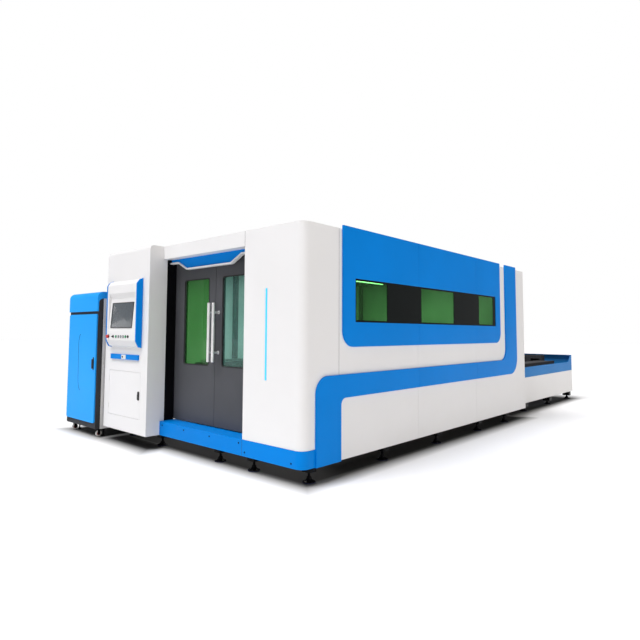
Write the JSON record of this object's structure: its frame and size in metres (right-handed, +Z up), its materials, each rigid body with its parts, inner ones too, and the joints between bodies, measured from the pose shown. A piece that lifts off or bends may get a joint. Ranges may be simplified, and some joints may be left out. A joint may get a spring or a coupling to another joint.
{
  "type": "fiber laser cutting machine",
  "caption": "Enclosed flat-bed fiber laser cutting machine with sliding doors, side window, operator console, exchange table and a separate laser source cabinet",
  "frame": {"origin": "middle of the floor area that the machine covers, source cabinet and exchange table included", "axes": "+X to the right seen from the doors (window side), +Y from the doors to the exchange table, +Z up"},
  "size_m": [3.945, 8.176, 2.229],
  "materials": {
    "white_paint": "satin",
    "blue_paint": "semi gloss",
    "pale_blue_paint": "semi gloss",
    "rail_blue_paint": "semi gloss",
    "frame_paint": "satin",
    "door_grey_paint": "satin",
    "rim_grey_paint": "satin",
    "black_paint": "satin",
    "green_glass": "tinted laser-safe",
    "trim_black": "gloss",
    "strip_cyan": "light strip",
    "handle_steel": "brushed",
    "machined_steel": "ground",
    "slat_steel": "mill finish",
    "screen_black": "gloss",
    "red_plastic": "gloss",
    "green_plastic": "gloss",
    "grey_plastic": "matte",
    "dark_plastic": "matte",
    "white_plastic": "matte"
  },
  "bodies": {
    "machine": {"bed_frame": "frame_paint", "cabinet_shell": "white_paint", "canopy_fascia": "blue_paint", "canopy_trim": "white_paint", "caster_brackets": "black_paint", "console_cheeks": "blue_paint", "console_face": "white_paint", "cover_panels": "white_paint", "display": "screen_black", "door_surround": "black_paint", "front_column": "white_paint", "front_skirts": "blue_paint", "guide_rails": "machined_steel", "header_beam": "white_paint", "levelling_feet": "machined_steel", "light_strip": "strip_cyan", "rear_wall": "white_paint", "side_band": "blue_paint", "side_panels": "white_paint", "side_window": "green_glass", "source_cap": "pale_blue_paint", "source_shell": "white_paint", "source_surround": "rim_grey_paint", "table_covers": "white_paint", "table_drive": "rim_grey_paint", "table_frame": "frame_paint", "table_rails": "rail_blue_paint", "window_gasket": "trim_black", "window_surround": "blue_paint"},
    "left_door": {"door_left": "door_grey_paint", "door_left_glass": "green_glass", "handle_left": "handle_steel"},
    "right_door": {"door_right": "door_grey_paint", "door_right_glass": "green_glass", "handle_right": "handle_steel"},
    "lower_door": {"cabinet_door": "white_paint"},
    "lower_lock": {"cabinet_lock": "dark_plastic"},
    "drawer": {"keyboard_drawer": "blue_paint"},
    "latch": {"drawer_latch": "white_plastic"},
    "emergency_stop": {"e_stop_button": "red_plastic"},
    "key": {"key_switch": "dark_plastic"},
    "laser_door": {"source_door": "pale_blue_paint"},
    "laser_door_handle": {"source_handle": "dark_plastic"},
    "gantry": {"gantry_beam": "frame_paint"},
    "carriage": {"cross_carriage": "frame_paint"},
    "head": {"cutting_head": "machined_steel"},
    "pallet_up": {"upper_pallet": "frame_paint", "upper_slats": "slat_steel"},
    "pallet_low": {"lower_pallet": "frame_paint", "lower_slats": "slat_steel"},
    "button_1": {"push_button_1": "green_plastic"},
    "button_2": {"push_button_2": "grey_plastic"},
    "button_3": {"push_button_3": "grey_plastic"},
    "button_4": {"push_button_4": "grey_plastic"},
    "button_5": {"push_button_5": "green_plastic"},
    "button_6": {"push_button_6": "dark_plastic"},
    "wheel_1": {"caster_wheel_1": "white_plastic"},
    "wheel_2": {"caster_wheel_2": "white_plastic"},
    "wheel_3": {"caster_wheel_3": "white_plastic"},
    "wheel_4": {"caster_wheel_4": "white_plastic"}
  },
  "joints": [
    {"name": "door_left_slide", "type": "slide", "parent": "machine", "child": "left_door", "axis": [-1, 0, 0], "range_m": [0, 0.62]},
    {"name": "door_right_slide", "type": "slide", "parent": "machine", "child": "right_door", "axis": [1, 0, 0], "range_m": [0, 0.54]},
    {"name": "cabinet_door_hinge", "type": "hinge", "parent": "machine", "child": "lower_door", "pos_m": [-0.9935, -3.98, 0.557], "axis": [0, 0, -1], "range_deg": [0, 110]},
    {"name": "cabinet_lock_turn", "type": "hinge", "parent": "lower_door", "child": "lower_lock", "pos_m": [-0.3275, -3.98, 0.557], "axis": [0, 1, 0], "range_deg": [0, 90]},
    {"name": "keyboard_drawer_slide", "type": "slide", "parent": "machine", "child": "drawer", "axis": [0, -1, 0], "range_m": [0, 0.19]},
    {"name": "drawer_latch_turn", "type": "hinge", "parent": "drawer", "child": "latch", "pos_m": [-0.6595, -4.002, 0.9695], "axis": [0, 1, 0], "range_deg": [0, 90]},
    {"name": "e_stop_press", "type": "slide", "parent": "machine", "child": "emergency_stop", "axis": [0, 1, 0], "range_m": [0, 0.006], "stiffness_N_per_m": 400},
    {"name": "key_turn", "type": "hinge", "parent": "machine", "child": "key", "pos_m": [-0.8015, -4.047, 1.198], "axis": [0, 1, 0], "range_deg": [0, 90]},
    {"name": "push_button_1_press", "type": "slide", "parent": "machine", "child": "button_1", "axis": [0, 1, 0], "range_m": [0, 0.004], "stiffness_N_per_m": 300},
    {"name": "push_button_2_press", "type": "slide", "parent": "machine", "child": "button_2", "axis": [0, 1, 0], "range_m": [0, 0.004], "stiffness_N_per_m": 300},
    {"name": "push_button_3_press", "type": "slide", "parent": "machine", "child": "button_3", "axis": [0, 1, 0], "range_m": [0, 0.004], "stiffness_N_per_m": 300},
    {"name": "push_button_4_press", "type": "slide", "parent": "machine", "child": "button_4", "axis": [0, 1, 0], "range_m": [0, 0.004], "stiffness_N_per_m": 300},
    {"name": "push_button_5_press", "type": "slide", "parent": "machine", "child": "button_5", "axis": [0, 1, 0], "range_m": [0, 0.004], "stiffness_N_per_m": 300},
    {"name": "push_button_6_press", "type": "slide", "parent": "machine", "child": "button_6", "axis": [0, 1, 0], "range_m": [0, 0.004], "stiffness_N_per_m": 300},
    {"name": "source_door_hinge", "type": "hinge", "parent": "machine", "child": "laser_door", "pos_m": [-1.9455, -4.064, 0.816], "axis": [0, 0, -1], "range_deg": [0, 105]},
    {"name": "source_handle_turn", "type": "hinge", "parent": "laser_door", "child": "laser_door_handle", "pos_m": [-1.2385, -4.068, 0.87], "axis": [0, 1, 0], "range_deg": [0, 90]},
    {"name": "caster_wheel_1_spin", "type": "hinge", "parent": "machine", "child": "wheel_1", "pos_m": [-1.8905, -3.97, 0.038], "axis": [1, 0, 0], "continuous": true},
    {"name": "caster_wheel_2_spin", "type": "hinge", "parent": "machine", "child": "wheel_2", "pos_m": [-1.2455, -3.97, 0.038], "axis": [1, 0, 0], "continuous": true},
    {"name": "caster_wheel_3_spin", "type": "hinge", "parent": "machine", "child": "wheel_3", "pos_m": [-1.8905, -3.252, 0.038], "axis": [1, 0, 0], "continuous": true},
    {"name": "caster_wheel_4_spin", "type": "hinge", "parent": "machine", "child": "wheel_4", "pos_m": [-1.2455, -3.252, 0.038], "axis": [1, 0, 0], "continuous": true},
    {"name": "gantry_travel", "type": "slide", "parent": "machine", "child": "gantry", "axis": [0, 1, 0], "range_m": [-0.13, 2.65]},
    {"name": "carriage_travel", "type": "slide", "parent": "gantry", "child": "carriage", "axis": [1, 0, 0], "range_m": [-0.72, 0.72]},
    {"name": "head_lift", "type": "slide", "parent": "carriage", "child": "head", "axis": [0, 0, 1], "range_m": [0, 0.12]},
    {"name": "upper_pallet_travel", "type": "slide", "parent": "machine", "child": "pallet_up", "axis": [0, 1, 0], "range_m": [0, 3.1]},
    {"name": "lower_pallet_travel", "type": "slide", "parent": "machine", "child": "pallet_low", "axis": [0, 1, 0], "range_m": [-3.1, 0]}
  ],
  "couplings": [
    {"joint": "lower_pallet_travel", "follows": "upper_pallet_travel", "ratio": -1}
  ]
}
